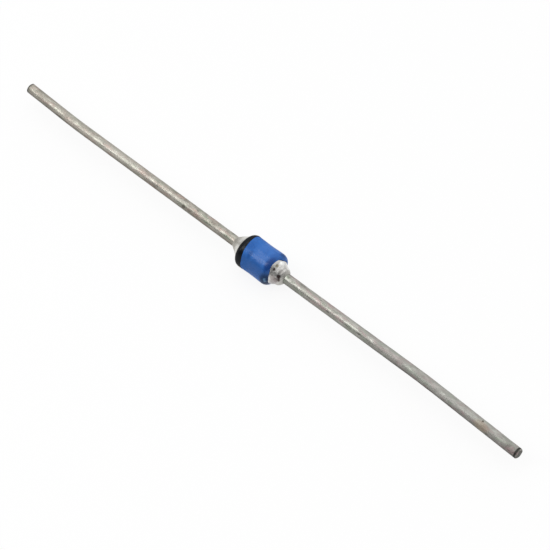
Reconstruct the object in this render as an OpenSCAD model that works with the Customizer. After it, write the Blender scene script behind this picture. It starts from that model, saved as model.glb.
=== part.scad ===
// Axial rectifier diode in a voidless fused-glass package, lying along X on its painted barrel.
// The origin is the middle of the barrel, the cathode (banded end) points to -X and +Z is up.

/* [Barrel] */
// Outside diameter of the painted barrel
body_d = 3.3; // [2.9:0.1:4.5]
// Length of the barrel's straight stretch
barrel_length = 2.9; // [1.5:0.1:4.5]
// Radius of the rounded shoulder at each end of the barrel
shoulder_r = 0.55; // [0.45:0.05:0.7]
// Thickness of the blue coat
coat_t = 0.05; // [0.03:0.01:0.08]
// Thickness of the glass between the coat and the slugs
glass_wall = 0.35; // [0.2:0.01:0.5]
// Width of the glass left bare between each slug and the coat
bare_glass = 0.07; // [0.03:0.01:0.1]

/* [Cathode band] */
// How far the black band runs in from the shoulder along the barrel
band_inset = 0.3; // [0.05:0.05:1]
// Thickness of the black band
band_t = 0.02; // [0.01:0.01:0.04]

/* [Junction] */
// How far the edge of the die lies inside the edge of the slugs
die_inset = 0.2; // [0.1:0.05:0.4]
// Thickness of the silicon die
die_t = 0.25; // [0.2:0.01:0.4]
// Thickness of the bond between the die and each slug
bond_t = 0.04; // [0.02:0.01:0.06]

/* [Brazed joints] */
// Thickness of the braze between each lead's end and its slug
braze_t = 0.05; // [0.03:0.01:0.1]
// Length of the cone of solder round the cathode lead
cathode_cone_length = 1; // [0.6:0.1:2]
// Length of the cone of solder round the anode lead
anode_cone_length = 1.2; // [0.6:0.1:2]
// How full the cathode's cone is: 1 is a straight slope, and more swells outwards
cathode_cone_fullness = 1.1; // [1:0.1:2]
// How full the anode's cone is: 1 is a straight slope, and more swells outwards
anode_cone_fullness = 1.4; // [1:0.1:2]
// Thickness of each cone where it ends on its lead
cone_edge_t = 0.015; // [0.01:0.005:0.04]

/* [Lead wires] */
// Diameter of the lead wire
lead_d = 1.02; // [0.7:0.02:1.3]
// Length of each lead wire, from its brazed end to its tip
lead_length = 28.6; // [22:0.1:34]
// Length of wire taken up by each soft bend
bend_length = 5; // [2:0.5:8]

/* [Cathode lead] */
// Angle of the soft bend in the cathode lead, towards +Y
cathode_bend_deg = 2.4; // [1:0.1:12]
// Distance along the wire from the tip to the middle of the cathode bend
cathode_bend_from_tip = 6.15; // [5:0.05:14]
// Chamfer that the cropping tool leaves on the cathode tip
cathode_chamfer = 0.06; // [0.03:0.01:0.2]

/* [Anode lead] */
// Angle of the soft bend in the anode lead, towards -Y
anode_bend_deg = 2.4; // [1:0.1:12]
// Distance along the wire from the tip to the middle of the anode bend
anode_bend_from_tip = 11.85; // [5:0.05:14]
// Chamfer that the cropping tool leaves on the anode tip
anode_chamfer = 0.15; // [0.03:0.01:0.2]

/* [Hidden] */
$fn = 96;

cathode = -1;
anode = 1;
half_barrel = barrel_length / 2;
body_r = body_d / 2;
lead_r = lead_d / 2;
// What the coat and the band stand on keeps the shoulder's centre, so each layer is even all round.
glass_r = body_r - coat_t;
slug_r = glass_r - glass_wall;
die_r = slug_r - die_inset;
glass_corner = shoulder_r - coat_t;
coat_end_r = slug_r + bare_glass;
half_stack = die_t / 2 + bond_t;
slug_end = half_barrel + glass_corner;
lead_start = slug_end + braze_t;
cone_steps = 12;
bend_gain = 0.003;
run_overlap = 0.1;

tin = [0.72, 0.71, 0.68];
solder = [0.85, 0.85, 0.83];
tungsten = [0.45, 0.46, 0.48];
bond_metal = [0.8, 0.7, 0.45];
silicon = [0.25, 0.27, 0.32];
hard_glass = [0.85, 0.92, 0.9, 0.5];
coat_blue = [0.2, 0.42, 0.76];
band_black = [0.06, 0.07, 0.08];

// Solids are turned about Z and then laid along X; the cathode's are the mirror image of the anode's.
module along_x() rotate([0, 90, 0]) children();
module on_side(side) mirror([side == cathode ? 1 : 0, 0, 0]) children();
module rod(r, length) along_x() cylinder(r = r, h = length);

// Half outline of a bar with rounded shoulders: x is the radius and y runs along the bar.
module rounded_bar(r, corner) {
    translate([0, -half_barrel]) square([r, barrel_length]);
    translate([0, -half_barrel - corner]) square([r - corner, barrel_length + 2 * corner]);
    for (end = [-half_barrel, half_barrel])
        translate([r - corner, end]) circle(r = corner);
}

// Half outline of an even layer on the bar, from the end of one shoulder to the end of the other.
module layer(inner_r, inner_corner, thickness) {
    intersection() {
        difference() {
            rounded_bar(inner_r + thickness, inner_corner + thickness);
            rounded_bar(inner_r, inner_corner);
        }
        translate([coat_end_r, -barrel_length]) square([body_r, 2 * barrel_length]);
    }
}

// Hard glass fused to the slugs, with a rib that fills the groove round the die.
module glass_sleeve() {
    color(hard_glass) along_x() rotate_extrude() difference() {
        rounded_bar(glass_r, glass_corner);
        translate([0, -half_stack]) square([die_r, 2 * half_stack]);
        for (end = [-slug_end, half_stack])
            translate([0, end]) square([slug_r, slug_end - half_stack]);
    }
}

module body_coat() {
    color(coat_blue) along_x() rotate_extrude() layer(glass_r, glass_corner, coat_t);
}

module cathode_band() {
    color(band_black) along_x() rotate_extrude() intersection() {
        layer(body_r, shoulder_r, band_t);
        translate([0, -barrel_length]) square([2 * body_r, barrel_length - half_barrel + band_inset]);
    }
}

module silicon_die() {
    color(silicon) translate([-die_t / 2, 0, 0]) rod(die_r, die_t);
}

module die_bond(side) {
    color(bond_metal) on_side(side) translate([die_t / 2, 0, 0]) rod(die_r, bond_t);
}

module slug(side) {
    color(tungsten) on_side(side) translate([half_stack, 0, 0]) rod(slug_r, slug_end - half_stack);
}

// Radius of a solder cone at a share u of its length. A fuller cone stays wide for longer and drops
// faster where it ends on the wire.
function cone_r(u, fullness) = lead_r + cone_edge_t + (slug_r - lead_r - cone_edge_t) * (1 - pow(u, fullness));

// A disc of braze under the lead's end, and in one piece with it the solder cone round the lead.
module braze(side, cone_length, fullness) {
    color(solder) on_side(side) translate([slug_end, 0, 0]) along_x() rotate_extrude() difference() {
        polygon([
            [0, 0],
            for (step = [0:cone_steps]) [cone_r(step / cone_steps, fullness), step / cone_steps * cone_length],
            [0, cone_length]
        ]);
        translate([0, braze_t]) square([lead_r, cone_length]);
    }
}

// A wire along X with one soft bend towards +Y and a chamfered tip. The bend is a hair thicker than
// the two straight runs, whose ends are buried in it, so that the wire is one solid.
module bent_wire(bend_deg, bend_from_tip, chamfer) {
    inner_run = lead_length - bend_from_tip - bend_length / 2;
    outer_run = bend_from_tip - bend_length / 2;
    bend_r = bend_length * 180 / (PI * bend_deg);
    rod(lead_r, inner_run + run_overlap);
    translate([inner_run, bend_r, 0]) {
        rotate([0, 0, -90])
            rotate_extrude(angle = bend_deg) translate([bend_r, 0]) circle(r = lead_r + bend_gain);
        rotate([0, 0, bend_deg]) translate([-run_overlap, -bend_r, 0])
            cropped_rod(run_overlap + outer_run, chamfer);
    }
}

// A straight run of wire along X that ends in the cropped and chamfered tip.
module cropped_rod(length, chamfer) {
    rod(lead_r, length - chamfer);
    translate([length - chamfer, 0, 0]) along_x() cylinder(r1 = lead_r, r2 = lead_r - chamfer, h = chamfer);
}

module cathode_lead() {
    color(tin) on_side(cathode) translate([lead_start, 0, 0])
        bent_wire(cathode_bend_deg, cathode_bend_from_tip, cathode_chamfer);
}

// The anode lead is turned over, so that its bend goes the other way.
module anode_lead() {
    color(tin) on_side(anode) translate([lead_start, 0, 0]) rotate([180, 0, 0])
        bent_wire(anode_bend_deg, anode_bend_from_tip, anode_chamfer);
}

cathode_lead();
anode_lead();
braze(cathode, cathode_cone_length, cathode_cone_fullness);  // cathode_braze
braze(anode, anode_cone_length, anode_cone_fullness);  // anode_braze
slug(cathode);  // cathode_slug
slug(anode);  // anode_slug
silicon_die();
die_bond(cathode);  // cathode_die_bond
die_bond(anode);  // anode_die_bond
glass_sleeve();
body_coat();
cathode_band();
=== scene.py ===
import math

import bpy
import numpy as np
from mathutils import Matrix, Vector


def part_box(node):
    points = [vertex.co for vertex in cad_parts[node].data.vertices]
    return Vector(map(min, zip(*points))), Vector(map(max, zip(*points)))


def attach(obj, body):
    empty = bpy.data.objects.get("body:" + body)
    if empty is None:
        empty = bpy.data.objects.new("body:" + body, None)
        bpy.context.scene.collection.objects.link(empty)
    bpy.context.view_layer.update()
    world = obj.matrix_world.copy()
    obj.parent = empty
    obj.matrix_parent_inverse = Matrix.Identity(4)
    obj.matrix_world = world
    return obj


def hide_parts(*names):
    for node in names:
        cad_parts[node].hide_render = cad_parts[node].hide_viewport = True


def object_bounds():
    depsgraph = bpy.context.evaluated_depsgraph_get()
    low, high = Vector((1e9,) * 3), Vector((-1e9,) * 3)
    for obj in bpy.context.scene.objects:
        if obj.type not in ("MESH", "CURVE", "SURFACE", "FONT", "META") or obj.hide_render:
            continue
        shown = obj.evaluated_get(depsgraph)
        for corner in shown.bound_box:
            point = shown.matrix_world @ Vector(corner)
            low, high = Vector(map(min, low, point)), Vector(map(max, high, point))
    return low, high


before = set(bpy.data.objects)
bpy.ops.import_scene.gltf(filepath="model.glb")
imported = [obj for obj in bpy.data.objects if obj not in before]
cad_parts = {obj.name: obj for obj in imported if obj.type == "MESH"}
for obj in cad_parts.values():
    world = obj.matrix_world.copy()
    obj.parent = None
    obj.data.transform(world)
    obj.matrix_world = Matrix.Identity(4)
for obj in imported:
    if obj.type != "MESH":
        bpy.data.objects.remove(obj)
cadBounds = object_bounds()
print("frame loaded with", len(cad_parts), "nodes")

mm = 0.001
scene = bpy.context.scene
scene.view_settings.view_transform = "Standard"

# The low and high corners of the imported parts, in metres.
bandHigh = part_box("cathode_band")[1]
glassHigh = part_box("glass_sleeve")[1]
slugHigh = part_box("anode_slug")[1]
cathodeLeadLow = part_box("cathode_lead")[0]
anodeLeadLow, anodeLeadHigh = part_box("anode_lead")
anodeConeLow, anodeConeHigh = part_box("anode_braze")
cathodeConeLow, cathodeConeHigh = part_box("cathode_braze")
cathodeSide = -1
anodeSide = 1


# Six times the signed volume inside a set of triangles: the sum of each corner triple's box product.
def boxProduct(points, triangles):
    a, b, c = (points[triangles[:, k]] for k in range(3))
    return np.einsum("ij,ij->", a, np.cross(b, c))


# Rings of points become a closed mesh. Each ring runs round the piece, and neighbouring rings are joined
# by quads. With poles, the first and last ring close on a point of their own, and without them the last
# ring joins the first, as in a tube bent round on itself.
def meshFromRings(name, rings, poles=True):
    rows, cols = rings.shape[:2]
    points = rings.reshape(-1, 3)
    index = np.arange(rows * cols).reshape(rows, cols)
    lower, upper = (index[:-1], index[1:]) if poles else (index, np.roll(index, -1, axis=0))
    quads = np.stack([lower, np.roll(lower, -1, axis=1), np.roll(upper, -1, axis=1), upper], axis=-1)
    quads = quads.reshape(-1, 4)
    triangles = np.concatenate([quads[:, [0, 1, 2]], quads[:, [0, 2, 3]]])
    fans = np.zeros((0, 3), int)
    if poles:
        points = np.concatenate([points, rings[0].mean(axis=0)[None], rings[-1].mean(axis=0)[None]])
        start = np.full(cols, rows * cols)
        first = np.stack([start, np.roll(index[0], -1), index[0]], axis=-1)
        last = np.stack([start + 1, index[-1], np.roll(index[-1], -1)], axis=-1)
        fans = np.concatenate([first, last])
        triangles = np.concatenate([triangles, fans])
    if boxProduct(points, triangles) < 0:
        quads = quads[:, ::-1]
        fans = fans[:, ::-1]
    mesh = bpy.data.meshes.new(name)
    mesh.from_pydata(points.tolist(), [], quads.tolist() + fans.tolist())
    mesh.polygons.foreach_set("use_smooth", np.ones(len(mesh.polygons), bool))
    mesh.set_sharp_from_angle(angle=math.radians(38))
    mesh.update()
    piece = bpy.data.objects.new(name, mesh)
    scene.collection.objects.link(piece)
    return piece


# An even share from 0 to 1, eased at both ends.
def easeInOut(share):
    share = np.clip(share, 0, 1)
    return share * share * (3 - 2 * share)


# A gentle wander over a surface: a sum of cosine waves of random length along it and whole numbers of
# turns round it, so that the seam closes. The result is about -1 to 1.
def wander(seed, along, around, count, shortest, longest, turns):
    rng = np.random.default_rng(seed)
    lengths = rng.uniform(shortest, longest, count)
    turnCounts = rng.integers(-turns, turns + 1, count)
    phases = rng.uniform(0, 2 * np.pi, count)
    waves = np.cos(
        2 * np.pi * along[..., None] / lengths + turnCounts * around[..., None] + phases
    )
    return waves.sum(axis=-1) / math.sqrt(2 * count)


# Shallow pits: each is a round dip, the depth times a bell curve of the distance from its centre, with
# that distance measured along the surface.
def pits(seed, along, around, radius, spots):
    rng = np.random.default_rng(seed)
    total = np.zeros(np.broadcast(along, around).shape)
    for centreAlong, centreAround, depth, width, stretch in zip(*spots(rng)):
        turn = (around - centreAround + np.pi) % (2 * np.pi) - np.pi
        away = ((along - centreAlong) / (width * stretch)) ** 2 + (turn * radius / width) ** 2
        total -= depth * np.exp(-away)
    return total


wire = {
    "radius": 0.51 * mm,
    "stepsRound": 96,
    "stepAlong": 0.055 * mm,
    "bendLength": 5 * mm,
    "tinWave": 0.0035 * mm,       # how far the tin coat wanders
    "dentCount": 26,
    "dentDepth": 0.010 * mm,
    "leanSide": 0.9,              # the direction round the wire in which the cropped face leans
    "ridge": 0.012 * mm,
    "ridgeWaves": 6.5,
    "burrSide": 4.0,
    "flatSide": 2.2,
    "flat": 0.02 * mm,            # how far the rim is pressed in on its flat side
    "sideBroad": 0.5,
}
cathodeWire = {
    "side": cathodeSide,
    "seed": 11,
    "towards": 1,
    "bendAt": 24.3 * mm,
    "bendDegrees": 2.1,
    "leanDegrees": 0.06,
    "tipClearance": 0.022 * mm,   # keeps the turned rim of the tip inside the part's length
    "chamfer": 0.06 * mm,
    "faceTilt": 0.07,
    "burr": 0.03 * mm,
}
anodeWire = {
    "side": anodeSide,
    "seed": 23,
    "towards": -1,
    "bendAt": 19.6 * mm,
    "bendDegrees": 2.25,
    "leanDegrees": -0.09,
    "tipClearance": 0.20 * mm,    # this wire is cropped a little shorter
    "chamfer": 0.15 * mm,
    "faceTilt": 0.05,
    "burr": 0.012 * mm,
}


# The wire's middle line: y is the running sum of the heading's slope, and the heading turns by the bend's
# angle along an eased stretch.
def middleLine(values, distance):
    fine = np.linspace(0, distance.max(), 3001)
    share = (fine - values["bendAt"]) / wire["bendLength"] + 0.5
    heading = math.radians(values["leanDegrees"]) + math.radians(values["bendDegrees"]) * easeInOut(share)
    slope = np.tan(heading)
    step = fine[1] - fine[0]
    height = np.concatenate([[0], np.cumsum((slope[1:] + slope[:-1]) / 2 * step)])
    y = values["towards"] * np.interp(distance, fine, height)
    turn = values["towards"] * np.interp(distance, fine, heading)
    return y, turn


# A lead wire: a circle carried along the middle line, with its radius changed by the tin's wander and by
# small dents, then a chamfer and a cropped end face that leans a little and keeps a burr on one side.
def makeWire(name, values, start, tip):
    end = tip - values["tipClearance"]
    radius = wire["radius"]
    chamfer = values["chamfer"]
    runEnd = end - chamfer
    count = int((runEnd - start) / wire["stepAlong"])
    run = np.linspace(start, runEnd, count)
    chamferShare = np.linspace(0, 1, 7)[1:]
    faceShare = np.linspace(1, 0, 12)[1:-1]
    innerShare = np.linspace(0, 1, 6)[1:-1]
    distance = np.concatenate([
        np.full(4, start), run, runEnd + chamfer * np.sin(chamferShare * np.pi / 2) ** 1.2, np.full(10, end)
    ])
    reach = np.concatenate([
        radius * innerShare,
        np.full(count, radius),
        radius - chamfer * (1 - np.cos(chamferShare * np.pi / 2)) ** 0.9,
        (radius - chamfer) * faceShare,
    ])
    around = np.linspace(0, 2 * np.pi, wire["stepsRound"], endpoint=False)[None, :]
    along = distance[:, None]
    share = reach[:, None] / radius

    def dents(rng):
        count = wire["dentCount"]
        return (
            rng.uniform(start + 2 * mm, runEnd, count),
            rng.uniform(0, 2 * np.pi, count),
            rng.uniform(0.3, 1, count) * wire["dentDepth"],
            rng.uniform(0.08, 0.28, count) * mm,
            rng.uniform(0.8, 2.5, count),
        )

    swell = wire["tinWave"] * wander(values["seed"], along, around, 26, 0.5 * mm, 5 * mm, 5)
    swell = swell - wire["tinWave"] + pits(values["seed"] + 1, along, around, radius, dents)
    reachAll = reach[:, None] + share ** 3 * swell
    # The cropped face leans and has low ridges across it, a cosine wave. The burr is a short lip on its
    # rim, and the rim is pressed in a little on another side.
    onTip = easeInOut((along - runEnd) / (end - runEnd)) * (along > runEnd)
    acrossFace = reachAll * np.cos(around - wire["leanSide"])
    lean = np.abs(values["faceTilt"] * acrossFace) / 2
    ridge = wire["ridge"] * (1 + np.cos(wire["ridgeWaves"] * acrossFace / radius))
    lip = values["burr"] * share ** 6 / 4 * np.exp(-((around - wire["burrSide"]) / wire["sideBroad"]) ** 2)
    flat = wire["flat"] * np.exp(-((around - wire["flatSide"]) / wire["sideBroad"]) ** 2)
    along = along - onTip * (lean + ridge) * share + 0 * around
    reachAll = reachAll + onTip * (lip - flat)
    y, turn = middleLine(values, along)
    across = reachAll * np.cos(around)
    x = along - across * np.sin(turn)
    rings = np.stack([
        values["side"] * x,
        y + across * np.cos(turn),
        reachAll * np.sin(around),
    ], axis=-1)
    return meshFromRings(name, rings)


leadStart = anodeLeadLow.x
cathodeWirePiece = makeWire("cathode_wire", cathodeWire, leadStart, -cathodeLeadLow.x)
anodeWirePiece = makeWire("anode_wire", anodeWire, leadStart, anodeLeadHigh.x)
print("wires made")

barrel = {
    "stepsRound": 192,
    "stepsAlong": 200,
    "glassRadius": glassHigh.z,
    "corner": 0.5 * mm,
    "coat": 0.05 * mm,
    "waist": 0.022 * mm,          # how much thinner the coat is round the middle
    "waistWide": 0.62,            # this and the next two are shares of the straight half
    "swellAt": 0.85,
    "swellWide": 0.4,
    "anodeSwell": 0.0115 * mm,
    "coatWave": 0.0008 * mm,
    "thickSide": 0.5,             # the direction round the barrel in which the anode shoulder's coat is thick
    "thickReach": 0.15 * mm,      # how far it reaches out there
    "dropSide": 3.12,             # where it has run over the shoulder in a drop
    "dropBroad": 0.52,
    "dropReach": 0.06 * mm,
    "dropIn": 0.17 * mm,          # how much further in the coat's edge lies there
    "coatEndRadius": 1.25 * mm,
    "coatEndShift": 0.06 * mm,    # how far the anode edge of the coat sits off centre
    "bareSide": 1.65,             # the direction round the anode shoulder in which solder covers it
    "bareBroad": 0.62,
    "bareReach": 0.20 * mm,       # how far the solder climbs over the shoulder there
    "cathodeEndRadius": 1.33 * mm,
    "edgeWander": 0.012 * mm,
    "band": 0.0162 * mm,
    "bandTilt": 0.20 * mm,        # how far the band's inner edge leans to each side
    "bandEdgeWander": 0.022 * mm,
    "bandShort": 0.02 * mm,       # how far the band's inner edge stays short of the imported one
    "bandPast": 0.006 * mm,       # how far the band runs on past the coat's end
    "bandSink": 0.004 * mm,       # how far its underside lies in the coat
    "bandEdgeSink": 0.002 * mm,
    "roundOff": 0.05 * mm,
    # drops of thicker paint: place along the outline, direction round, height, width, all but one in mm
    "drops": ((1.86, 3.10, 0.045, 0.30), (1.62, 0.75, 0.020, 0.22), (-1.40, 2.60, 0.012, 0.25)),
}
halfStraight = glassHigh.x - barrel["corner"]


# The glass bar's outline by the distance along it from the middle: straight, then a quarter circle. It
# gives the place and the outward direction.
def barOutline(distance):
    corner = barrel["corner"]
    bend = np.clip(np.abs(distance) - halfStraight, 0, None) / corner
    side = np.sign(distance)
    x = side * (np.minimum(np.abs(distance), halfStraight) + corner * np.sin(bend))
    r = barrel["glassRadius"] - corner + corner * np.cos(bend)
    return x, r, side * np.sin(bend), np.cos(bend)


# Distance along the outline at which it has come down to a radius: the straight half and then the arc
# whose cosine gives that radius.
def outlineEnd(radius):
    corner = barrel["corner"]
    return halfStraight + corner * np.arccos(1 - (barrel["glassRadius"] - radius) / corner)


# How bare the anode shoulder is in a direction round it: 1 where solder covers it, and 0 elsewhere, with
# flat middle and soft ends.
def bareShare(around):
    return np.exp(-((around - barrel["bareSide"]) / barrel["bareBroad"]) ** 4)


# How much a direction lies in the drop: 1 at its middle and 0 elsewhere, shaped like bareShare.
def dropShare(around):
    return np.exp(-((around - barrel["dropSide"]) / barrel["dropBroad"]) ** 4)


# How far the coat is pushed out along the barrel: nothing up to the anode shoulder, and from there more,
# most on the thick side and in the drop.
def coatReach(distance, around):
    start = 0.55 * halfStraight
    full = halfStraight + 0.9 * barrel["corner"]
    share = easeInOut((distance - start) / (full - start))
    side = (1 + np.cos(around - barrel["thickSide"])) / 2
    return share * (barrel["thickReach"] * side ** 1.3 + barrel["dropReach"] * dropShare(around))


# How far the coat stands off the glass: its thickness less a waist round the middle, plus a slight swell
# towards the anode and a wander.
def coatHeight(distance, around):
    share = distance / halfStraight
    waist = barrel["waist"] * np.exp(-(share / barrel["waistWide"]) ** 2)
    swell = barrel["anodeSwell"] * np.exp(-((share - barrel["swellAt"]) / barrel["swellWide"]) ** 2)
    wave = barrel["coatWave"] * wander(5, distance, around, 22, 0.9 * mm, 4 * mm, 5)
    height = barrel["coat"] - waist + swell + wave - barrel["coatWave"]
    for place, direction, thick, wide in barrel["drops"]:
        turn = (around - direction + np.pi) % (2 * np.pi) - np.pi
        away = ((distance - place * mm) / mm) ** 2 + (turn * 1.5) ** 2
        height = height + thick * mm * np.exp(-away / wide ** 2)
    return height


# A rounded edge: a quarter of an ellipse over the last stretch before the edge.
def roundedEdge(toEdge):
    share = np.clip(toEdge / barrel["roundOff"], 0, 1)
    return np.sqrt(1 - (1 - share) ** 2)


# A layer on the bar between two wandering edges: out along its upper face and back along its lower one.
# The distance is spread by a cosine, so that the rows lie close together near both edges.
def layerRings(low, high, upper, lower, around):
    share = (1 - np.cos(np.pi * np.linspace(0, 1, barrel["stepsAlong"])))[:, None] / 2
    distance = low + (high - low) * share
    x, r, outX, outR = barOutline(distance)
    fromEdge = np.minimum(distance - low, high - distance)
    bottom = lower(distance, around)
    top = np.maximum(upper(distance, around, fromEdge), bottom)
    faces = []
    for height in (top, bottom):
        reach = r + outR * height
        push = coatReach(distance, around) * (height > 0) * np.clip(height / barrel["coat"], 0, 1)
        faces.append(np.stack([
            x + outX * height + push, reach * np.cos(around), reach * np.sin(around)
        ], axis=-1))
    return np.concatenate([faces[0], faces[1][::-1]])


# Where the coat ends on the cathode shoulder: the outline's distance at the end radius and its wander.
def coatLowEnd(around):
    wave = barrel["edgeWander"] * wander(31, 0 * around, around, 9, 1, 2, 5)
    return -outlineEnd(barrel["cathodeEndRadius"] + wave)


# The blue coat: a layer from its end on the cathode shoulder to its end on the anode shoulder. The second
# is where the outline comes down to a radius, larger where solder covers the shoulder and smaller in the
# drop. The upper face is the coat's height, rounded off at both edges, and the lower face is the glass.
def makeCoat(name):
    around = np.linspace(0, 2 * np.pi, barrel["stepsRound"], endpoint=False)[None, :]
    shift = barrel["coatEndShift"] * np.cos(around - barrel["thickSide"])
    wave = barrel["edgeWander"] * wander(32, 0 * around, around, 9, 1, 2, 5)
    edge = barrel["bareReach"] * bareShare(around) - barrel["dropIn"] * dropShare(around)
    low = coatLowEnd(around)
    high = outlineEnd(barrel["coatEndRadius"] - shift + edge + wave)

    def upper(distance, around, fromEdge):
        return coatHeight(distance, around) * roundedEdge(fromEdge)

    def lower(distance, around):
        return np.zeros(np.broadcast(distance, around).shape)

    return meshFromRings(name, layerRings(low, high, upper, lower, around), poles=False)


# The black band: a layer from just past the coat's cathode end to a slightly leaning inner edge. Its upper
# face is the coat's height plus the band's own, rounded off at both edges, and it goes down to the glass.
def makeBand(name):
    around = np.linspace(0, 2 * np.pi, barrel["stepsRound"], endpoint=False)[None, :]
    coatEnd = coatLowEnd(around)
    lean = -barrel["bandTilt"] * np.cos(around - barrel["thickSide"])
    wave = barrel["bandEdgeWander"] * wander(42, 0 * around, around, 12, 1, 2, 9)
    inner = bandHigh.x - barrel["bandShort"] + lean + wave

    def under(distance, around):
        return coatHeight(distance, around) * roundedEdge(distance - coatEnd)

    def upper(distance, around, fromEdge):
        edge = roundedEdge(fromEdge * 1.4)
        return under(distance, around) + barrel["band"] * edge - barrel["bandEdgeSink"] * (1 - edge)

    def lower(distance, around):
        return np.maximum(under(distance, around) - barrel["bandSink"], 0)

    rings = layerRings(coatEnd - barrel["bandPast"], inner, upper, lower, around)
    return meshFromRings(name, rings, poles=False)


coatPiece = makeCoat("blue_coat")
bandPiece = makeBand("black_band")
print("barrel made")

coneShape = {
    "stepsRound": 160,
    "stepsAlong": 90,
    "bore": 0.51 * mm,
    "thinnest": 0.004 * mm,
    "footLength": 0.16,           # share of the cone's length that the foot takes up
    "footOut": 1.1,               # how far the foot goes out and back, in shares of its spread
    "footBack": 0.7,
}
cathodeCone = {
    "side": cathodeSide,
    "seed": 51,
    # share of the cone's length against share of the way from the lead to the slug's rim
    "outline": (
        (0, 1), (0.12, 0.91), (0.3, 0.73), (0.45, 0.59), (0.6, 0.42), (0.75, 0.26), (0.88, 0.12), (1, 0.03),
    ),
    "wave": 0.010 * mm,
    "shift": -0.03 * mm,
    "tail": 0.13 * mm,            # how much further it creeps along the wire than it is drawn
    "spread": 0.0,
    "lumps": ((0.8, 3.6, 0.03, 0.12, 0.5), (0.75, 1.2, 0.02, 0.14, 0.6)),
}
anodeCone = {
    "side": anodeSide,
    "seed": 52,
    "outline": (
        (0, 1), (0.1, 0.965), (0.2, 0.89), (0.32, 0.77), (0.45, 0.65), (0.58, 0.56), (0.7, 0.47), (0.8, 0.37),
        (0.88, 0.24), (0.94, 0.12), (1, 0.03),
    ),
    "wave": 0.010 * mm,
    "shift": 0.03 * mm,           # how far the solder leans away from the coat's thick side
    "tail": 0.02 * mm,
    "spread": barrel["bareReach"],
    # share along, direction round, height, width along, width round
    "lumps": (
        (0.28, 1.20, 0.085, 0.20, 0.60),
        (0.66, 1.40, -0.050, 0.07, 0.55),
        (0.84, 1.30, 0.065, 0.09, 0.60),
        (0.20, 2.10, -0.035, 0.10, 0.25),
        (0.72, 2.50, -0.050, 0.10, 0.28),
        (0.70, 3.45, 0.090, 0.16, 0.60),
        (0.50, 2.00, 0.030, 0.08, 0.30),
        (0.55, 5.20, 0.030, 0.14, 0.80),
    ),
}


# A solder cone: the outline gives the radius by the distance from the slug, a smooth curve through its
# points, with bell-shaped lumps and a wander on it. A disc closes it on the slug, and a bore goes back
# along the wire to the wire's end.
def makeCone(name, values, low, high, wireStart):
    length = high + values["tail"] - low
    rim = slugHigh.z
    share = np.linspace(0, 1, coneShape["stepsAlong"])
    knots = np.array(values["outline"])
    slope = np.gradient(knots[:, 1], knots[:, 0])
    at = np.clip(np.searchsorted(knots[:, 0], share) - 1, 0, len(knots) - 2)
    width = knots[at + 1, 0] - knots[at, 0]
    t = (share - knots[at, 0]) / width
    drop = (
        (2 * t ** 3 - 3 * t ** 2 + 1) * knots[at, 1]
        + (t ** 3 - 2 * t ** 2 + t) * width * slope[at]
        + (3 * t ** 2 - 2 * t ** 3) * knots[at + 1, 1]
        + (t ** 3 - t ** 2) * width * slope[at + 1]
    )
    around = np.linspace(0, 2 * np.pi, coneShape["stepsRound"], endpoint=False)[None, :]
    along = share[:, None]
    reach = coneShape["bore"] + (rim - coneShape["bore"]) * drop[:, None]
    free = np.clip(np.sin(np.pi * np.clip(along, 0, 1)), 0, 1) ** 0.7
    relief = values["wave"] * wander(values["seed"], along * length, around, 18, 0.3 * mm, 1.4 * mm, 5)
    for place, direction, height, wide, broad in values["lumps"]:
        turn = (around - direction + np.pi) % (2 * np.pi) - np.pi
        relief = relief + height * mm * np.exp(-((along - place) / wide) ** 2 - (turn / broad) ** 2)
    relief = relief - values["shift"] * np.cos(around - barrel["thickSide"])
    reach = np.maximum(reach + free * relief, coneShape["bore"] + coneShape["thinnest"])
    # Where the solder climbs over the shoulder, its foot is wider and follows the shoulder back.
    foot = bareShare(around) * np.clip(1 - along / coneShape["footLength"], 0, 1)
    reach = reach + coneShape["footOut"] * values["spread"] * foot ** 1.5
    back = coneShape["footBack"] * values["spread"] * foot ** 2
    disc = np.linspace(0, 1, 8)[1:-1, None] * rim + 0 * around
    bore = np.full((8, 1), coneShape["bore"]) + 0 * around
    boreAt = np.linspace(low + length, wireStart, 8)[:, None] + 0 * around
    hole = np.linspace(1, 0, 6)[1:-1, None] * coneShape["bore"] + 0 * around
    reachAll = np.concatenate([disc, reach, bore, hole])
    x = np.concatenate([
        np.full(disc.shape, low), low + along * length - back, boreAt, np.full(hole.shape, wireStart)
    ])
    rings = np.stack([values["side"] * x, reachAll * np.cos(around), reachAll * np.sin(around)], axis=-1)
    return meshFromRings(name, rings)


cathodeConePiece = makeCone(
    "cathode_solder_cone", cathodeCone, -cathodeConeHigh.x, -cathodeConeLow.x, leadStart
)
anodeConePiece = makeCone("anode_solder_cone", anodeCone, anodeConeLow.x, anodeConeHigh.x, leadStart)
print("solder cones made")


# Adds a node. A value that is a socket is linked, and any other is set on the input.
def addNode(tree, kind, inputs=None, **settings):
    node = tree.nodes.new(kind)
    for name, value in settings.items():
        setattr(node, name, value)
    for name, value in (inputs or {}).items():
        if isinstance(value, bpy.types.NodeSocket):
            tree.links.new(value, node.inputs[name])
        else:
            node.inputs[name].default_value = value
    return node


# A new material, its node tree and its Principled shader, whose sockets take the constants.
def startMaterial(name, **constants):
    material = bpy.data.materials.new(name)
    material.use_nodes = True
    tree = material.node_tree
    shader = tree.nodes["Principled BSDF"]
    for socket, value in constants.items():
        shader.inputs[socket.replace("_", " ")].default_value = value
    return material, tree, shader


# Object coordinates through a Mapping node: in millimetres, unless another scale stretches them.
def objectPlace(tree, scale=(1000, 1000, 1000), location=(0, 0, 0)):
    coordinates = addNode(tree, "ShaderNodeTexCoord")
    mapping = addNode(tree, "ShaderNodeMapping", {
        "Vector": coordinates.outputs["Object"], "Scale": scale, "Location": location,
    })
    return mapping.outputs["Vector"]


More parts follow.
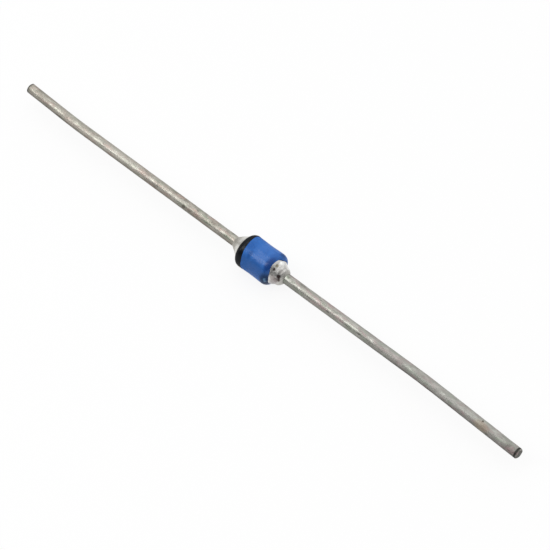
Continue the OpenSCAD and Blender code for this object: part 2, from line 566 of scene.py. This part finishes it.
# Soft random noise, from 0 to 1, at a place.
def noise(tree, place, scale, detail=4, roughness=0.55, distortion=0.0):
    node = addNode(tree, "ShaderNodeTexNoise", {
        "Vector": place, "Scale": scale, "Detail": detail, "Roughness": roughness, "Distortion": distortion,
    })
    return node.outputs["Fac"]


# A value between two levels, eased from 0 to 1 and then spread over the new range.
def between(tree, value, low, high, newLow=0.0, newHigh=1.0):
    node = addNode(tree, "ShaderNodeMapRange", {
        "Value": value, "From Min": low, "From Max": high, "To Min": newLow, "To Max": newHigh,
    }, interpolation_type="SMOOTHSTEP")
    return node.outputs["Result"]


# A blend of two colours: the first at a share of 0 and the second at 1.
def mixColour(tree, share, first, second):
    node = addNode(tree, "ShaderNodeMix", data_type="RGBA")
    for index, value in ((0, share), (6, first), (7, second)):
        if isinstance(value, bpy.types.NodeSocket):
            tree.links.new(value, node.inputs[index])
        else:
            node.inputs[index].default_value = value if index == 0 else (*value, 1)
    return node.outputs[2]


# Two values brought together by a Math node.
def combine(tree, operation, first, second):
    return addNode(tree, "ShaderNodeMath", {0: first, 1: second}, operation=operation).outputs[0]


# How near a point is to a spot on the surface: 1 at the spot's centre and 0 at its edge.
def spotMask(tree, place, centre, size, soft=0.6):
    moved = addNode(tree, "ShaderNodeVectorMath", {0: place, 1: centre}, operation="SUBTRACT")
    scaled = addNode(tree, "ShaderNodeVectorMath", {0: moved.outputs[0], 1: size}, operation="DIVIDE")
    length = addNode(tree, "ShaderNodeVectorMath", {0: scaled.outputs[0]}, operation="LENGTH")
    return between(tree, length.outputs["Value"], 1, 1 - soft)


# Fine relief: the height bends the shader's normal.
def addBump(tree, shader, height, strength, distance):
    bump = addNode(tree, "ShaderNodeBump", {"Height": height, "Strength": strength, "Distance": distance})
    tree.links.new(bump.outputs["Normal"], shader.inputs["Normal"])


# A colour laid over the base colour where a mask is 1, as strongly as the strength says.
def addStainAndPaintedLight(tree, base, mask, colour, strength):
    return mixColour(tree, combine(tree, "MULTIPLY", mask, strength), base, colour)


# The base colour with spots on it: each has a centre, a size, a colour and a strength.
def addSpots(tree, place, base, spots):
    for centre, size, colour, strength in spots:
        base = addStainAndPaintedLight(tree, base, spotMask(tree, place, centre, size), colour, strength)
    return base


# The tin of each wire. The worn values say from where to where along the wire, in mm, it turns rougher,
# and by how much, and the shift moves its pattern.
tinLook = {
    "cathode": {
        "clean": (0.39, 0.375, 0.335),
        "dull": (0.28, 0.265, 0.225),
        "tarnish": (0.37, 0.285, 0.25),
        "green": (0.25, 0.28, 0.215),
        "bright": (0.58, 0.555, 0.49),
        "pit": (0.10, 0.09, 0.075),
        # the under colour is painted shade on the wire's lower side
        "under": (0.13, 0.115, 0.09),
        "fleck": 0.38,
        "worn": (40, 50, 0.0),
        "rough": 0.425,
        "shift": 0.0,
    },
    "anode": {
        "clean": (0.345, 0.34, 0.315),
        "dull": (0.26, 0.255, 0.23),
        "tarnish": (0.35, 0.265, 0.265),
        "green": (0.235, 0.275, 0.215),
        "bright": (0.52, 0.515, 0.48),
        "pit": (0.10, 0.095, 0.085),
        # the under colour is painted shade on the wire's lower side
        "under": (0.12, 0.115, 0.105),
        "fleck": 0.40,
        "worn": (10, 18, 0.20),
        "rough": 0.41,
        "shift": 37.0,
    },
}


# How near a point is to a ring round the wire: 1 at the ring's middle and 0 at its edge.
def ringMask(tree, place, centre, halfWidth, soft=0.5):
    x = addNode(tree, "ShaderNodeSeparateXYZ", {"Vector": place}).outputs["X"]
    away = combine(tree, "ABSOLUTE", combine(tree, "SUBTRACT", x, centre), 0.0)
    return between(tree, away, halfWidth, halfWidth * (1 - soft))


# Dull hot-dipped tin: grey patches stretched along the wire, pinkish and greenish tarnish, bright flecks
# where the tin is rubbed, dark pits, painted shade that darkens the underside, laid-on spots and rings of
# colour, and fine drawing lines in the bump.
def tinMaterial(name, look, stainsAndPaintedLight=(), rings=()):
    material, tree, shader = startMaterial(name, Metallic=0.85)
    own = objectPlace(tree)
    longPlace = objectPlace(tree, scale=(280, 1000, 1000), location=(look["shift"], 3, 1))
    linePlace = objectPlace(tree, scale=(60, 1000, 1000), location=(look["shift"], 7, 2))
    finePlace = objectPlace(tree, scale=(400, 1000, 1000), location=(look["shift"], 5, 4))
    broad = noise(tree, longPlace, 0.9, 3, 0.6)
    patches = noise(tree, longPlace, 2.6, 5, 0.65)
    fine = noise(tree, finePlace, 3.4, 3, 0.6)
    specks = noise(tree, finePlace, 2.3, 2, 0.5)
    lines = noise(tree, linePlace, 14.0, 3, 0.6)
    base = mixColour(tree, between(tree, broad, 0.38, 0.62), look["clean"], look["dull"])
    base = mixColour(tree, between(tree, patches, 0.50, 0.62, 0, 0.9), base, look["tarnish"])
    base = mixColour(tree, between(tree, patches, 0.47, 0.35, 0, 0.9), base, look["green"])
    base = mixColour(tree, between(tree, fine, 0.52, 0.66, 0, look["fleck"]), base, look["bright"])
    base = mixColour(tree, between(tree, fine, 0.46, 0.32, 0, look["fleck"]), base, look["pit"])
    base = mixColour(tree, between(tree, specks, 0.665, 0.72, 0, 0.8), base, look["pit"])
    parts = addNode(tree, "ShaderNodeSeparateXYZ", {"Vector": own}).outputs
    # Painted shade: the wire turns darker towards its underside, by height alone.
    base = mixColour(tree, between(tree, parts["Z"], 0.36, -0.12, 0, 0.85), base, look["under"])
    base = addSpots(tree, own, base, stainsAndPaintedLight)
    for centre, halfWidth, colour, strength in rings:
        base = addStainAndPaintedLight(tree, base, ringMask(tree, own, centre, halfWidth), colour, strength)
    tree.links.new(base, shader.inputs["Base Color"])
    rough = between(tree, patches, 0.35, 0.7, look["rough"] - 0.05, look["rough"] + 0.07)
    rough = combine(tree, "ADD", rough, between(tree, fine, 0.35, 0.7, 0.04, -0.04))
    wornFrom, wornTo, worn = look["worn"]
    rough = combine(tree, "ADD", rough, between(tree, parts["X"], wornFrom, wornTo, 0, worn))
    tree.links.new(rough, shader.inputs["Roughness"])
    height = combine(tree, "ADD", combine(tree, "MULTIPLY", lines, 0.35), fine)
    height = combine(tree, "ADD", height, combine(tree, "MULTIPLY", patches, 1.2))
    addBump(tree, shader, height, 0.5, 0.005 * mm)
    return material


# The material goes on the piece.
def give(piece, material):
    piece.data.materials.clear()
    piece.data.materials.append(material)


# Laid-on colours of the cathode wire: a painted highlight along its top near x -21 mm and a smaller one on
# its front near x -22.5 mm, painted shade on its lower front near x -27 mm, a dark spot on its lower front at
# the tip, and a dark ring of painted shade at the cropped end's rim.
cathodeTin = tinMaterial("tin_of_the_cathode_wire", tinLook["cathode"], (
    ((-21.0, 0.10, 0.60), (12.0, 0.9, 0.9), (0.48, 0.46, 0.41), 0.32),
    ((-22.5, -0.40, 0.31), (11.0, 0.18, 0.18), (0.56, 0.53, 0.47), 0.40),
    ((-27.0, -0.30, -0.22), (5.0, 0.40, 0.36), (0.06, 0.05, 0.04), 0.75),
    ((-30.4, -0.35, -0.20), (0.7, 0.40, 0.40), (0.06, 0.055, 0.045), 0.85),
), (
    (-30.56, 0.22, (0.07, 0.068, 0.06), 0.85),
))
# Laid-on colours of the anode wire: painted light on its top and front near x 8.5 mm, a painted highlight
# along its top near x 22 mm, a brown stain and a small dark mark near x 26 mm, and at the tip two dark rings
# of painted shade, on the chamfer and at the end's rim.
anodeTin = tinMaterial("tin_of_the_anode_wire", tinLook["anode"], (
    ((8.5, -0.20, 0.30), (7.0, 1.2, 1.2), (0.50, 0.49, 0.42), 0.15),
    ((22.0, 0.05, 0.60), (14.0, 0.9, 0.9), (0.45, 0.45, 0.42), 0.5),
    ((26.3, -0.55, 0.35), (1.1, 0.6, 0.6), (0.36, 0.295, 0.21), 0.5),
    ((26.15, -0.15, 0.48), (0.13, 0.15, 0.15), (0.08, 0.06, 0.04), 0.85),
), (
    (30.17, 0.14, (0.04, 0.04, 0.036), 0.95),
    (30.40, 0.03, (0.10, 0.10, 0.09), 0.8),
))


# Bright solder with brown flux marks and other laid-on colours, on the anode cone also a painted highlight
# and painted shade. It turns as dull as the tin over a stretch, in mm from the middle of the barrel, where it
# thins out on the wire.
def solderMaterial(name, side, look, stainsAndPaintedLight):
    material, tree, shader = startMaterial(name, Metallic=0.95)
    place = objectPlace(tree)
    x = addNode(tree, "ShaderNodeSeparateXYZ", {"Vector": place}).outputs["X"]
    outwards = combine(tree, "MULTIPLY", x, float(side))
    thin = between(tree, outwards, look["dullFrom"], look["dullTo"])
    cloudy = noise(tree, place, 1.6, 4, 0.6, 0.4)
    fine = noise(tree, place, 6.5, 4, 0.6)
    base = mixColour(tree, between(tree, cloudy, 0.35, 0.65), look["bright"], look["cloud"])
    base = mixColour(tree, between(tree, fine, 0.62, 0.75, 0, 0.6), base, (0.36, 0.31, 0.27))
    base = mixColour(tree, thin, base, look["dull"])
    base = addSpots(tree, place, base, stainsAndPaintedLight)
    tree.links.new(base, shader.inputs["Base Color"])
    rough = between(tree, cloudy, 0.3, 0.7, 0.22, 0.34)
    rough = combine(tree, "ADD", rough, between(tree, thin, 0, 1, 0, 0.18))
    tree.links.new(rough, shader.inputs["Roughness"])
    height = combine(tree, "ADD", cloudy, combine(tree, "MULTIPLY", fine, 0.3))
    addBump(tree, shader, height, 0.6, 0.05 * mm)
    return material


cathodeSolder = solderMaterial("solder_of_the_cathode_cone", cathodeSide, {
    "bright": (0.66, 0.65, 0.61),
    "cloud": (0.48, 0.47, 0.44),
    "dull": (0.42, 0.405, 0.365),
    "dullFrom": 2.2,
    "dullTo": 2.8,
}, (
    ((-2.6, -0.6, -0.1), (0.4, 0.3, 0.25), (0.30, 0.26, 0.20), 0.6),
))
# Laid-on colours of the anode cone: brown and dark spots, greyer patches on its front, a near-white painted
# highlight on its top near x 2.22 mm, and a grey patch on its top near x 2.72 mm that is painted shade over a
# reflection.
anodeSolder = solderMaterial("solder_of_the_anode_cone", anodeSide, {
    "bright": (0.78, 0.77, 0.74),
    "cloud": (0.55, 0.54, 0.52),
    "dull": (0.45, 0.44, 0.41),
    "dullFrom": 2.75,
    "dullTo": 3.1,
}, (
    ((2.16, -0.17, 1.19), (0.17, 0.24, 0.24), (0.17, 0.15, 0.09), 0.85),
    ((2.16, -0.56, 1.05), (0.15, 0.18, 0.24), (0.06, 0.03, 0.028), 0.92),
    ((2.78, -0.66, 0.60), (0.26, 0.26, 0.30), (0.045, 0.022, 0.022), 0.95),
    ((2.92, -0.80, 0.34), (0.18, 0.22, 0.30), (0.06, 0.035, 0.03), 0.9),
    ((2.33, -0.98, 0.39), (0.36, 0.34, 0.44), (0.31, 0.27, 0.26), 0.8),
    ((2.64, -0.91, 0.24), (0.30, 0.30, 0.36), (0.13, 0.10, 0.095), 0.85),
    ((2.50, -1.05, 0.00), (0.55, 0.40, 0.45), (0.32, 0.285, 0.28), 0.72),
    ((2.35, -1.02, -0.42), (0.50, 0.40, 0.45), (0.36, 0.34, 0.34), 0.75),
    ((2.72, -0.27, 0.86), (0.40, 0.38, 0.36), (0.35, 0.335, 0.32), 0.85),
    ((2.22, 0.42, 1.06), (0.40, 0.38, 0.36), (0.94, 0.95, 0.93), 0.85),
    ((2.08, -1.08, 0.60), (0.22, 0.30, 0.30), (0.42, 0.40, 0.38), 0.6),
))


# Gloss paint, deeper where it lies thick, with a faint orange peel, and laid-on spots of colour, here painted
# shade and painted highlights. The gloss is how much clear coat it has on the cathode half and on the anode
# half, and the wet spots have all of it.
def paintMaterial(name, thin, thick, gloss, stainsAndPaintedLight=(), wetSpots=()):
    material, tree, shader = startMaterial(name, IOR=1.5, Specular_IOR_Level=0.0, Coat_Roughness=0.17)
    place = objectPlace(tree)
    x = addNode(tree, "ShaderNodeSeparateXYZ", {"Vector": place}).outputs["X"]
    weight = between(tree, x, -0.55, 0.05, *gloss)
    for centre, size in wetSpots:
        weight = combine(tree, "MAXIMUM", weight, spotMask(tree, place, centre, size, 0.8))
    tree.links.new(weight, shader.inputs["Coat Weight"])
    cloudy = noise(tree, place, 0.9, 3, 0.55)
    fine = noise(tree, place, 7.0, 4, 0.6)
    base = mixColour(tree, between(tree, cloudy, 0.36, 0.66), thin, thick)
    base = mixColour(tree, between(tree, fine, 0.60, 0.8, 0, 0.45), base, thick)
    base = addSpots(tree, place, base, stainsAndPaintedLight)
    tree.links.new(base, shader.inputs["Base Color"])
    tree.links.new(between(tree, fine, 0.3, 0.7, 0.30, 0.40), shader.inputs["Roughness"])
    height = combine(tree, "ADD", cloudy, combine(tree, "MULTIPLY", fine, 0.04))
    addBump(tree, shader, height, 0.25, 0.007 * mm)
    return material


# Laid-on colours of the blue paint: painted shade on the front of the barrel, along the top of the anode
# shoulder and in a narrow stretch near x -0.45 mm; the drop's navy, partly thick paint and partly painted
# shade; and two lighter spots in the drop that are painted highlights.
bluePaint = paintMaterial("blue_paint", (0.037, 0.145, 0.460), (0.026, 0.110, 0.375), (0.16, 0.38), (
    ((0.2, -1.65, 0.55), (3.2, 0.95, 1.25), (0.026, 0.095, 0.30), 0.75),
    ((1.60, -0.20, 1.55), (0.55, 1.9, 0.9), (0.012, 0.080, 0.31), 0.55),
    ((1.68, -0.70, 1.42), (0.45, 1.15, 0.90), (0.010, 0.045, 0.20), 0.85),
    ((-0.45, -0.95, 1.31), (0.30, 0.6, 0.6), (0.010, 0.062, 0.24), 0.6),
    ((1.80, -1.45, 0.08), (0.66, 0.90, 1.02), (0.004, 0.030, 0.100), 0.97),
    ((1.84, -1.38, -0.45), (0.62, 0.80, 0.85), (0.004, 0.028, 0.095), 0.95),
    ((1.70, 0.95, 1.00), (0.42, 0.7, 0.6), (0.008, 0.045, 0.17), 0.8),
    ((1.83, -1.45, 0.20), (0.15, 0.30, 0.22), (0.09, 0.23, 0.40), 0.75),
    ((1.87, -1.42, -0.02), (0.15, 0.30, 0.22), (0.12, 0.26, 0.42), 0.75),
), (
    ((1.82, -1.46, 0.24), (0.18, 0.30, 0.24)),
    ((1.87, -1.42, -0.02), (0.20, 0.30, 0.28)),
))
blackPaint = paintMaterial("black_paint", (0.008, 0.010, 0.012), (0.005, 0.006, 0.008), (0.22, 0.22))


# Metal seen only when the part is opened: two tones in a grain, with roughness and bump from the same grain.
def plainMetal(name, light, dark, metallic, roughLow, roughHigh, grain):
    material, tree, shader = startMaterial(name, Metallic=metallic)
    place = objectPlace(tree)
    grainy = noise(tree, place, grain, 5, 0.65)
    base = mixColour(tree, between(tree, grainy, 0.35, 0.65), light, dark)
    tree.links.new(base, shader.inputs["Base Color"])
    tree.links.new(between(tree, grainy, 0.3, 0.7, roughLow, roughHigh), shader.inputs["Roughness"])
    addBump(tree, shader, grainy, 0.4, 0.01 * mm)
    return material


# Hard glass, milky where it lies bare, with faint draw lines.
def glassMaterial(name):
    material, tree, shader = startMaterial(name, IOR=1.5, Transmission_Weight=0.5)
    place = objectPlace(tree, scale=(300, 1000, 1000))
    lines = noise(tree, place, 5.0, 3, 0.6)
    base = mixColour(tree, between(tree, lines, 0.35, 0.65), (0.78, 0.79, 0.86), (0.70, 0.72, 0.80))
    tree.links.new(base, shader.inputs["Base Color"])
    tree.links.new(between(tree, lines, 0.3, 0.7, 0.04, 0.12), shader.inputs["Roughness"])
    addBump(tree, shader, lines, 0.2, 0.01 * mm)
    return material


tungsten = plainMetal("tungsten", (0.42, 0.43, 0.45), (0.30, 0.31, 0.33), 1.0, 0.32, 0.5, 6.0)
bondMetal = plainMetal("bond_metal", (0.85, 0.72, 0.42), (0.70, 0.58, 0.32), 1.0, 0.3, 0.45, 8.0)
silicon = plainMetal("silicon", (0.13, 0.14, 0.17), (0.08, 0.09, 0.12), 0.4, 0.12, 0.3, 3.0)
hardGlass = glassMaterial("hard_glass")

looks = (
    (cathodeWirePiece, cathodeTin, "tinned_wire", "cathode_lead"),
    (anodeWirePiece, anodeTin, "tinned_wire", "anode_lead"),
    (cathodeConePiece, cathodeSolder, "solder", "cathode_braze"),
    (anodeConePiece, anodeSolder, "solder", "anode_braze"),
    (coatPiece, bluePaint, "blue_coat", "body_coat"),
    (bandPiece, blackPaint, "black_band", "cathode_band"),
)
for piece, material, slotName, node in looks:
    give(piece, material)
    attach(piece, "root")
    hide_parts(node)

innerLooks = {
    "cathode_slug": tungsten,
    "anode_slug": tungsten,
    "silicon_die": silicon,
    "cathode_die_bond": bondMetal,
    "anode_die_bond": bondMetal,
    "glass_sleeve": hardGlass,
}
hiddenLooks = {
    "cathode_lead": cathodeTin,
    "anode_lead": anodeTin,
    "cathode_braze": cathodeSolder,
    "anode_braze": anodeSolder,
    "body_coat": bluePaint,
    "cathode_band": blackPaint,
}
for node, material in {**innerLooks, **hiddenLooks}.items():
    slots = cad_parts[node].data.materials
    slots.clear()
    slots.append(material)
print("materials given")

studio = {
    "floorHalf": 3.0,
    "floorColour": (0.88, 0.88, 0.88),
    "floorGlow": 0.88,            # how much of the floor's seen white doesn't depend on the light
    "softbox": {
        "towards": (-0.50, -0.53, 0.70),
        "away": 0.45,
        "wide": 0.44,
        "tall": 0.15,
        "roll": 38,
        "watts": 0.62,
    },
    "window": {
        "towards": (-0.485, -0.17, 0.858),
        "away": 0.42,
        "wide": 0.036,
        "tall": 0.42,
        "roll": 0,
        "watts": 0.15,
    },
    # how bright the room is on its dark and its bright side, and below the horizon
    "darkSide": 0.10,
    "brightSide": 1.25,
    "brightTowards": (-0.20, 0.48, 0.85),
    "horizon": 0.70,
}


# A flat floor under the part, as a grid of quads.
def makeFloor(name):
    half = studio["floorHalf"]
    steps = np.linspace(-half, half, 9)
    x, y = np.meshgrid(steps, steps, indexing="ij")
    points = np.stack([x, y, np.full(x.shape, cadBounds[0][2])], axis=-1).reshape(-1, 3)
    index = np.arange(x.size).reshape(x.shape)
    quads = np.stack([index[:-1, :-1], index[1:, :-1], index[1:, 1:], index[:-1, 1:]], axis=-1)
    quads = quads.reshape(-1, 4)
    mesh = bpy.data.meshes.new(name)
    mesh.from_pydata(points.tolist(), [], quads.tolist())
    floor = bpy.data.objects.new(name, mesh)
    scene.collection.objects.link(floor)
    material, tree, shader = startMaterial("pale_floor", Roughness=0.9, Specular_IOR_Level=0.0)
    place = objectPlace(tree, scale=(1, 1, 1))
    cloudy = noise(tree, place, 8.0, 2, 0.5)
    pale = studio["floorColour"]
    slightly = tuple(0.985 * part for part in pale)
    tree.links.new(mixColour(tree, cloudy, pale, slightly), shader.inputs["Base Color"])
    # The eye, mirrors and glass see a floor that is part lit and part plain white.
    path = addNode(tree, "ShaderNodeLightPath").outputs
    seen = combine(tree, "MAXIMUM", path["Is Camera Ray"], path["Is Glossy Ray"])
    seen = combine(tree, "MAXIMUM", seen, path["Is Transmission Ray"])
    glow = addNode(tree, "ShaderNodeEmission", {"Color": (1, 1, 1, 1), "Strength": 1.0})
    share = combine(tree, "MULTIPLY", seen, studio["floorGlow"])
    both = addNode(tree, "ShaderNodeMixShader", {0: share, 1: shader.outputs[0], 2: glow.outputs[0]})
    tree.links.new(both.outputs[0], tree.nodes["Material Output"].inputs["Surface"])
    mesh.materials.append(material)


# A soft box shines at the part from a direction. Its tall side is square to the part's own length, and
# then it is rolled about the direction it shines along.
def addSoftbox(name, values):
    towards = Vector(values["towards"]).normalized()
    tall = towards.cross(Vector((1, 0, 0))).normalized()
    wide = tall.cross(towards)
    roll = math.radians(values["roll"])
    wide, tall = (
        math.cos(roll) * wide + math.sin(roll) * tall,
        math.cos(roll) * tall - math.sin(roll) * wide,
    )
    light = bpy.data.lights.new(name, "AREA")
    light.shape = "RECTANGLE"
    light.size = values["wide"]
    light.size_y = values["tall"]
    light.energy = values["watts"]
    lamp = bpy.data.objects.new(name, light)
    turn = Matrix((wide, tall, towards)).transposed().to_4x4()
    lamp.matrix_world = Matrix.Translation(towards * values["away"]) @ turn
    scene.collection.objects.link(lamp)


makeFloor("floor")
addSoftbox("softbox", studio["softbox"])
addSoftbox("window", studio["window"])

# The room's own light: dark on one side, bright on the other, and one plain level near the horizon and below.
world = bpy.data.worlds.new("studio")
scene.world = world
world.use_nodes = True
worldTree = world.node_tree
background = worldTree.nodes["Background"]
direction = addNode(worldTree, "ShaderNodeTexCoord").outputs["Generated"]
up = addNode(worldTree, "ShaderNodeSeparateXYZ", {"Vector": direction}).outputs["Z"]
facing = addNode(worldTree, "ShaderNodeVectorMath", {
    0: direction, 1: Vector(studio["brightTowards"]).normalized(),
}, operation="DOT_PRODUCT").outputs["Value"]
room = between(worldTree, facing, -0.1, 1.0, studio["darkSide"], studio["brightSide"])
high = between(worldTree, up, 0.12, 0.30)
level = addNode(worldTree, "ShaderNodeMix", {0: high, 2: studio["horizon"], 3: room}).outputs[0]
worldTree.links.new(level, background.inputs["Strength"])
background.inputs["Color"].default_value = (1, 1, 1, 1)

# Where the camera stands, in degrees and metres, with its lens in mm. Right and up slide it across its view.
cameraPlace = {
    "azimuth": 42.855,
    "elevation": 52.4,
    "away": 0.204,
    "right": 0.001279,
    "up": -0.001360,
    "lens": 147.44,
}
azimuth = math.radians(cameraPlace["azimuth"])
elevation = math.radians(cameraPlace["elevation"])
back = Vector((
    math.sin(azimuth) * math.cos(elevation), -math.cos(azimuth) * math.cos(elevation), math.sin(elevation)
))
right = Vector((math.cos(azimuth), math.sin(azimuth), 0))
above = back.cross(right)
cameraData = bpy.data.cameras.new("camera")
cameraData.lens = cameraPlace["lens"]
cameraData.sensor_width = 36
cameraData.clip_start = 0.01
cameraData.clip_end = 50
camera = bpy.data.objects.new("camera", cameraData)
place = back * cameraPlace["away"] + right * cameraPlace["right"] + above * cameraPlace["up"]
turn = Matrix((right, above, back)).transposed().to_4x4()
camera.matrix_world = Matrix.Translation(place) @ turn
scene.collection.objects.link(camera)
scene.camera = camera
print("studio set")
